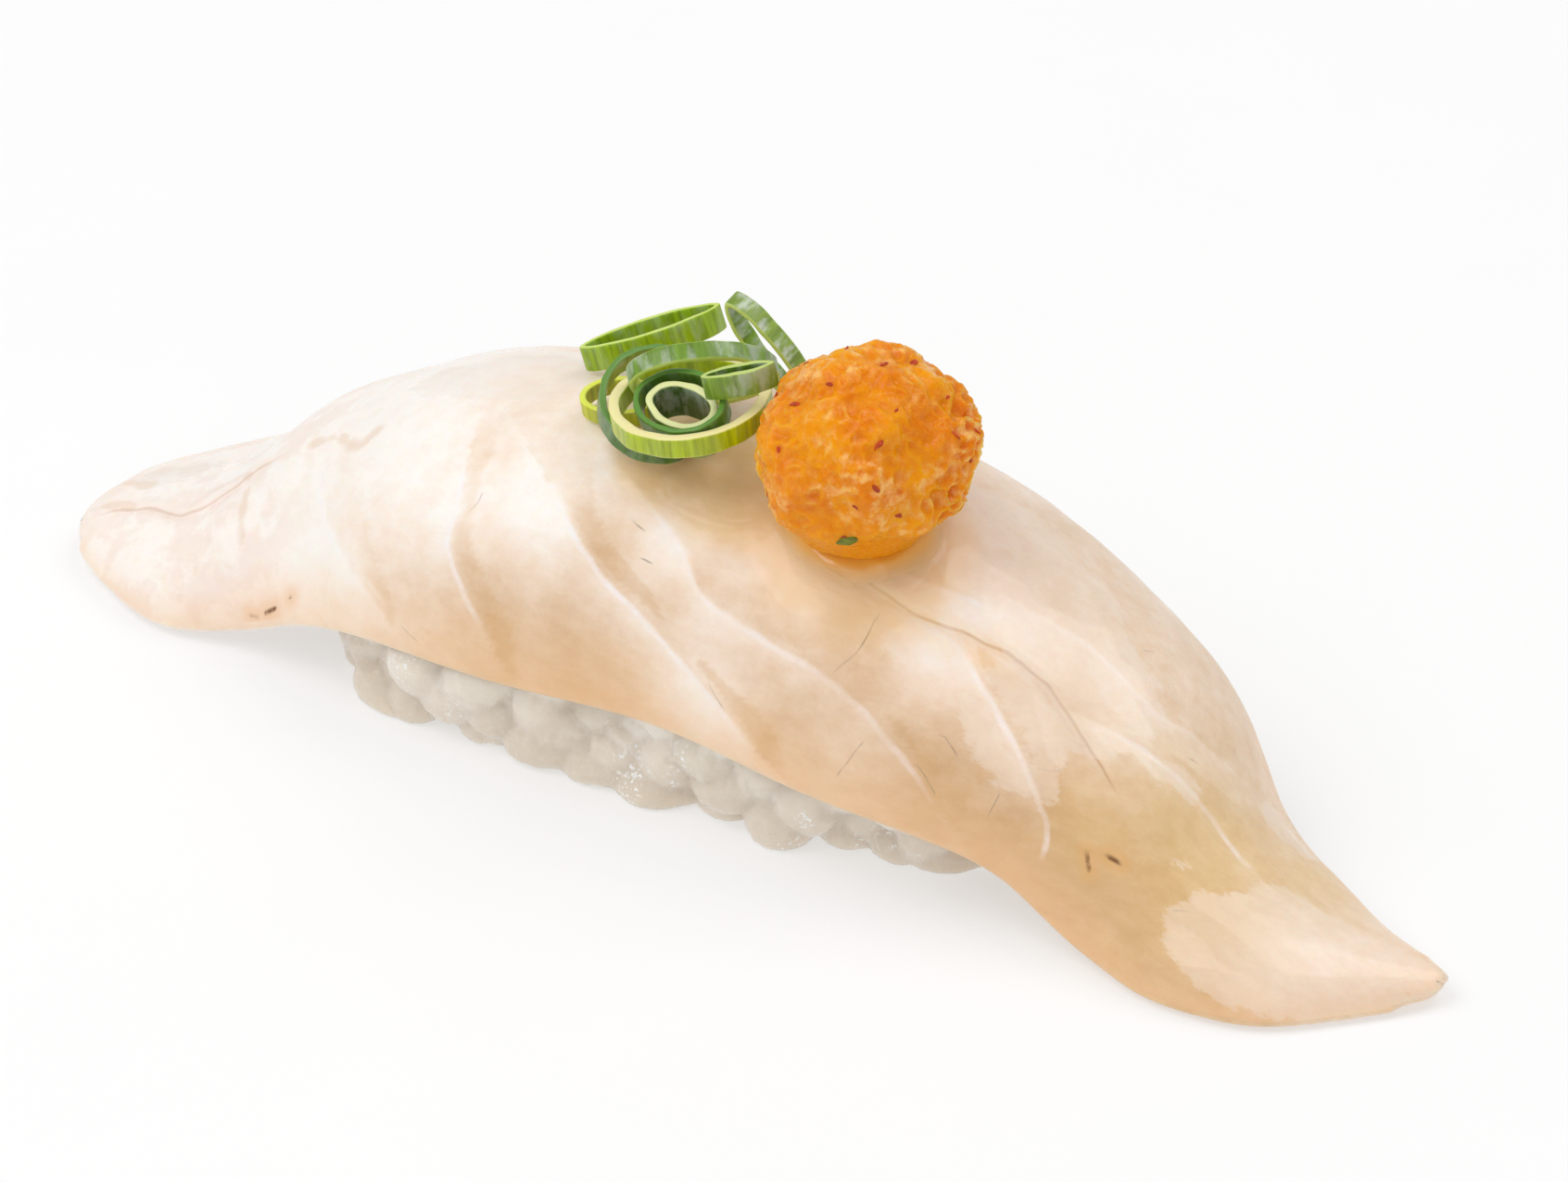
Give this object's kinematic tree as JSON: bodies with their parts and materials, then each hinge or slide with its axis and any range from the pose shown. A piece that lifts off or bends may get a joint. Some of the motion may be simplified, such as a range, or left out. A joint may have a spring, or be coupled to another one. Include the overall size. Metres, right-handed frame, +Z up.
{
  "type": "nigiri sushi",
  "caption": "Nigiri sushi: a long slice of raw white fish draped over pressed rice, topped with spiced grated radish and scallion rings.",
  "frame": {"origin": "middle of the flat base of the rice, where the sushi rests", "axes": "+X along the slice of fish towards its long drooping end, +Z up, -Y towards the front hem of the slice"},
  "size_m": [0.1071, 0.0295, 0.0346],
  "materials": {
    "fish": "raw white fish, wet, translucent, with pale seams",
    "rice": "cooked short-grain rice, moist and translucent white",
    "radish": "wet grated radish, orange with red flecks",
    "scallion": "fresh cut scallion, waxy green with pale cut edges"
  },
  "bodies": {
    "root": {"fish_slice": "fish", "rice": "rice", "radish_ball": "radish", "scallion_tail": "scallion", "scallion_under": "scallion", "scallion_front": "scallion", "scallion_heart": "scallion", "scallion_sleeve": "scallion", "scallion_leaf": "scallion", "scallion_arch": "scallion", "scallion_long": "scallion", "scallion_standing": "scallion"}
  },
  "joints": []
}
